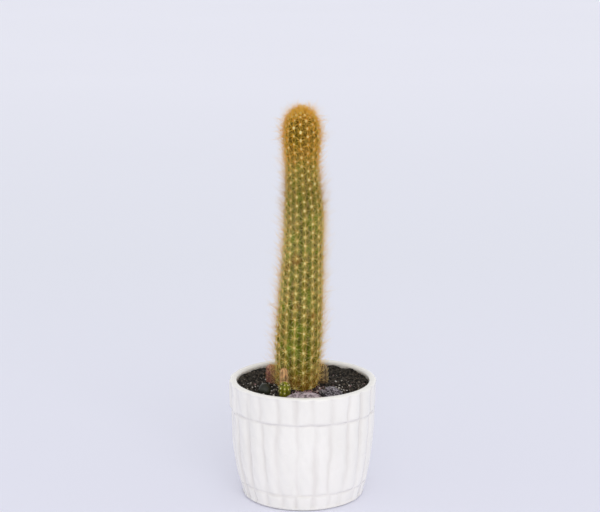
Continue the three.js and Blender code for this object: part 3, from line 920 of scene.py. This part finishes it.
def star(plant, places, kind, draws):
    """Roots, directions, lengths and radii of needles that spread from every areole like a star."""
    number = kind.number
    azimuth = np.repeat(places[:, 0], number)
    along = np.repeat(places[:, 1], number)
    point, normal, side, body = plant.place(azimuth, along)
    up = upward_on(normal, side)
    turn = np.tile(np.arange(number) / number * TURN, len(places))
    turn = turn + draws.uniform(-0.5, 0.5, len(turn)) * TURN / number
    lean = np.radians(draws.uniform(*kind.lean, len(turn)))
    flat = side * np.cos(turn)[:, None] + up * (np.sin(turn) + kind.upward)[:, None]
    direction = unit(normal * np.cos(lean)[:, None] + unit(flat) * np.sin(lean)[:, None])
    lengths = draws.uniform(*kind.length, len(turn)) * np.minimum(1, 0.45 + body / 12)
    radii = draws.uniform(*kind.radius, len(turn))
    spread = draws.uniform(0.2, 0.8, len(turn)) * np.minimum(1, body / 12)
    roots = point + unit(flat) * spread[:, None]
    return roots, direction, lengths, radii


def shared_tones(groups, per_group, low, high, draws):
    """Tones that vary from one group of needles to the next, and a little within each."""
    tones = np.repeat(draws.uniform(low, high, groups), per_group)
    return np.clip(tones + draws.uniform(-0.25, 0.25, len(tones)), 0, 1)


def grow(name, finish, plant, places, draws, kind):
    """Needles of one kind on every areole, in one piece."""
    roots, directions, lengths, radii = star(plant, places, kind, draws)
    count = len(roots)
    if kind.shared:
        tones = shared_tones(len(places), kind.number, *kind.tone, draws)
    else:
        tones = draws.uniform(*kind.tone, count)
    droop = np.zeros((count, 3))
    if kind.bend:
        droop += draws.normal(0, kind.bend, (count, 3))
    if kind.rise:
        droop[:, 2] += draws.uniform(0, kind.rise, count) * smoothstep(roots[:, 2], RISE_NONE_Z, RISE_FULL_Z)
    make_needles(name, finish, roots, directions, lengths, radii, droop, tones, kind.segments)


def make_felt(name, finish, plant, places, size, draws):
    """A low woolly cushion on every areole."""
    sides = 8
    layers = []
    point, normal, side, body = plant.place(places[:, 0], places[:, 1])
    up = upward_on(normal, side)
    scale = size * draws.uniform(0.75, 1.15, len(places)) * np.minimum(1, 0.4 + body / 10)
    for spread, lift in ((1.0, -0.35), (0.8, 0.22), (0.4, 0.42)):
        for index in range(sides):
            angle = index / sides * TURN
            away = side * math.cos(angle) * 0.85 + up * math.sin(angle) * 1.15
            rough = draws.uniform(0.88, 1.12, len(places))
            layers.append(point + away * (spread * scale * rough)[:, None] + normal * (lift * scale)[:, None])
    layers.append(point - normal * (0.5 * scale)[:, None])
    layers.append(point + normal * (0.48 * scale)[:, None])
    block = np.stack(layers, axis=1)
    total = block.shape[1]
    pattern = ring_faces(3, sides)
    faces = [tuple(pad * total + corner for corner in face) for pad in range(len(places)) for face in pattern]
    tones = np.repeat(draws.uniform(0, 1, len(places)), total)
    made = make_object(name, block.reshape(-1, 3), faces, finish, values={"tone": tones})


def stem_plant():
    table = catmull_rom(STEM_AXIS)

    def axis(z):
        return np.stack([np.interp(z, table[:, 0], column) for column in (table[:, 1], table[:, 2])], axis=-1)

    def spacing(along, length):
        usual = AREOLE_SPACING_LOW + (AREOLE_SPACING_HIGH - AREOLE_SPACING_LOW) * smoothstep(along, 30, 90)
        head = 0.12 * smoothstep(along, length - 48, length - 20)
        crown = 0.4 * smoothstep(along, length - 18, length - 6)
        return float(usual * (1 - head - crown))

    # One row of areoles more than the frame has, down to the soil
    start = FIRST_AREOLE_Z - AREOLE_SPACING_LOW - STEM_PROFILE[0][0]
    lowest = SOIL_Z + 1.5 - STEM_PROFILE[0][0]
    return Plant(
        STEM_PROFILE, axis, RIB_TWIST, STEM_RIBS, RIB_DEPTH, start, spacing, crown=2, bump=0.6, lowest=lowest,
    )


def make_stem():
    plant = stem_plant()
    places = plant.areoles()
    draws = np.random.default_rng(53)
    body = make_stem_body("stem", plant, stem_skin_finish(), columns=180, step=0.62, top=316)
    felt = felt_finish("areole_felt", (246, 234, 140), (255, 252, 204))
    make_felt("stem_areoles", felt, plant, places, 1.2, draws)

    gold = spine_finish("spines_gold", (218, 208, 92), (234, 236, 136), (252, 252, 200))
    young = spine_finish("spines_young", (255, 206, 88), (255, 230, 130), (255, 250, 200))
    amber = spine_finish("spines_amber", (220, 188, 84), (242, 226, 124), (253, 250, 190))
    orange = spine_finish("spines_orange", (255, 176, 60), (255, 214, 104), (255, 244, 190))
    pale = spine_finish("bristles_pale", (250, 188, 108), (255, 206, 130), (255, 226, 174), 0.5)
    on_head = plant.place(places[:, 0], places[:, 1])[0][:, 2] > HEAD_Z
    below = places[~on_head]
    above = places[on_head]
    spines = [
        ("stem_radial_spines", gold, below), ("stem_head_radials", young, above),
        ("stem_central_spines", amber, below), ("stem_head_spines", orange, above),
    ]
    for name, finish, chosen in spines:
        grow(name, finish, plant, chosen, draws, NEEDLES[name])
    bristled = places[~on_head | (draws.random(len(places)) < 0.75)]
    for name in ("stem_bristles", "stem_long_bristles"):
        grow(name, pale, plant, bristled, draws, NEEDLES[name])
    make_crown(plant)


def make_crown(plant):
    """The young orange spines that stand up from the growing tip."""
    draws = np.random.default_rng(59)
    tufts = 28
    each = 8
    reach = 7.4
    count = tufts * each
    azimuth = np.repeat(np.arange(tufts) * GOLDEN_ANGLE, each)
    along = np.repeat(plant.length - reach * np.sqrt(np.arange(tufts) / tufts), each)
    inset, _ = plant.inset(azimuth, along)
    point, normal, _, body = plant.place(azimuth, along, inset)
    lean = np.repeat(draws.normal(0, 0.3, (tufts, 3)), each, axis=0) + draws.normal(0, 0.2, (count, 3))
    direction = unit(normal * 0.6 + lean + np.array([0, 0, 0.5]))
    lengths = draws.uniform(0.45, 1, count) * (7.6 - 0.4 * body)
    radii = draws.uniform(0.12, 0.19, count)
    finish = spine_finish("crown_tuft", (255, 164, 4), (255, 206, 44), (255, 240, 150))
    tones = shared_tones(tufts, each, 0, 1, draws)
    droop = draws.normal(0, 0.06, (count, 3))
    make_needles("stem_crown_tuft", finish, point, direction, lengths, radii, droop, tones, 3)


def offset_plant(name):
    offset = OFFSETS[name]
    bottom = SOIL_Z - OFFSET_DEPTH
    radius = offset.radius
    top = offset.top
    shoulder = top - radius
    profile = [
        (bottom, radius * 0.92), (SOIL_Z, radius * 0.97), (SOIL_Z + (shoulder - SOIL_Z) * 0.6, radius),
        (shoulder + radius * 0.3, radius * 0.9), (top - radius * 0.2, radius * 0.55), (top, 0),
    ]

    return Plant(
        profile, lambda z: np.array([offset.x, offset.y]), 0, offset.ribs, radius * 0.14, OFFSET_DEPTH + 2.6,
        lambda along, length: offset.spacing, crown=1.4, bump=0.35,
    )


def make_offset(name, skin, felt, spines, felt_size, seed):
    plant = offset_plant(name)
    draws = np.random.default_rng(seed)
    places = plant.areoles()
    body = make_stem_body(name, plant, skin, columns=96, step=0.25, top=OFFSETS[name].top)
    make_felt(name + "_areoles", felt, plant, places, felt_size, draws)
    grow(name + "_spines", spines, plant, places, draws, NEEDLES["offset_spines"])


def make_offsets():
    cream = felt_finish("offset_felt_cream", (230, 222, 136), (252, 248, 200))
    rust = felt_finish("offset_felt_rust", (84, 30, 20), (120, 54, 36))
    dun = felt_finish("offset_felt_dun", (150, 120, 76), (204, 178, 126))
    straw = spine_finish("offset_spines_straw", (190, 170, 96), (222, 208, 146), (240, 234, 196))
    brown = spine_finish("offset_spines_brown", (120, 66, 44), (176, 118, 84), (206, 160, 120))
    # Each skin's first colour holds the painted shade of its furrows
    left = offset_skin_finish("offset_brown", (112, 64, 54), (182, 128, 114), (128, 84, 74), 0.6)
    tan = offset_skin_finish("offset_tan", (134, 96, 58), (214, 168, 118), (128, 100, 68), 0.5)
    green = offset_skin_finish("offset_green", (84, 86, 4), (134, 136, 16), (108, 94, 26), 0.25)
    olive = offset_skin_finish("offset_olive", (56, 46, 32), (146, 124, 88), (92, 70, 56), 0.6)
    make_offset("offset_left", left, rust, brown, 0.75, 61)
    make_offset("offset_tan", tan, dun, straw, 0.7, 62)
    make_offset("offset_green", green, cream, straw, 0.8, 63)
    make_offset("offset_right", olive, dun, straw, 0.7, 64)


# The studio

def make_camera():
    data = bpy.data.cameras.new("camera")
    data.lens = CAMERA_LENS
    data.sensor_width = SENSOR_WIDTH
    data.clip_start = 0.05
    data.clip_end = 100
    camera = add_object("camera", data)
    camera.location = Vector((CAMERA_X, -CAMERA_DISTANCE, CAMERA_HEIGHT)) * MM
    camera.rotation_euler = (math.radians(90 - CAMERA_TILT), 0, 0)
    bpy.context.scene.camera = camera


def make_sun(name, strength, softness, azimuth, elevation, colour):
    data = bpy.data.lights.new(name, "SUN")
    data.energy = strength
    data.angle = math.radians(softness)
    data.color = colour
    lamp = add_object(name, data)
    turn = math.radians(azimuth)
    rise = math.radians(elevation)
    towards = Vector((math.sin(turn) * math.cos(rise), -math.cos(turn) * math.cos(rise), math.sin(rise)))
    lamp.rotation_euler = towards.to_track_quat("Z", "Y").to_euler()


def make_studio():
    """A pale floor whose painted light changes its tone a little with distance, a soft sky and one very soft
    sun.
    """
    finish = Finish("studio_floor", 0.9, shine=0.1)
    depth = finish.node("ShaderNodeSeparateXYZ")
    finish.link(finish.place, depth.inputs["Vector"])
    metres = finish.node("ShaderNodeMapRange", {"From Max": 6})
    finish.link(depth.outputs["Y"], metres.inputs["Value"])
    # Painted light: the floor is a little lighter far away than near the pot
    stops = [(0.0, (238, 238, 250)), (0.15, (237, 238, 247)), (0.55, (243, 243, 252))]
    painted_light_sweep = finish.ramp(metres.outputs["Result"], *stops)
    cloud = finish.ramp(finish.noise(0.6, 2), (0.3, 0.99), (0.7, 1))
    finish.colour(finish.times(painted_light_sweep, cloud))
    mesh = bpy.data.meshes.new("studio_floor")
    # In metres, and just under the pot's foot
    half = 30
    below = -0.0001
    corners = [(-half, -half, below), (half, -half, below), (half, half, below), (-half, half, below)]
    mesh.from_pydata(corners, [], [(0, 1, 2, 3)])
    mesh.materials.append(finish.material)
    floor = add_object("studio_floor", mesh)

    world = bpy.data.worlds.new("studio")
    world.use_nodes = True
    tree = world.node_tree
    background = tree.nodes["Background"]
    direction = tree.nodes.new("ShaderNodeTexCoord")
    parts = tree.nodes.new("ShaderNodeSeparateXYZ")
    tree.links.new(direction.outputs["Generated"], parts.inputs["Vector"])
    # The sky is brightest at the horizon
    sky = tree.nodes.new("ShaderNodeValToRGB")
    sky.color_ramp.elements[0].color = (1.02, 1.03, 1.06, 1)
    sky.color_ramp.elements[1].color = (0.66, 0.67, 0.69, 1)
    tree.links.new(parts.outputs["Z"], sky.inputs["Fac"])
    tree.links.new(sky.outputs["Color"], background.inputs["Color"])
    bpy.context.scene.world = world
    make_sun("key", strength=0.7, softness=50, azimuth=12, elevation=28, colour=(1.0, 0.985, 0.96))
    bpy.context.scene.view_settings.view_transform = "Standard"
    bpy.context.scene.view_settings.look = "None"


make_camera()
make_studio()
make_pot()
make_soil()
make_crumbs()
make_perlite()
make_grit()
make_stones()
make_stem()
make_offsets()
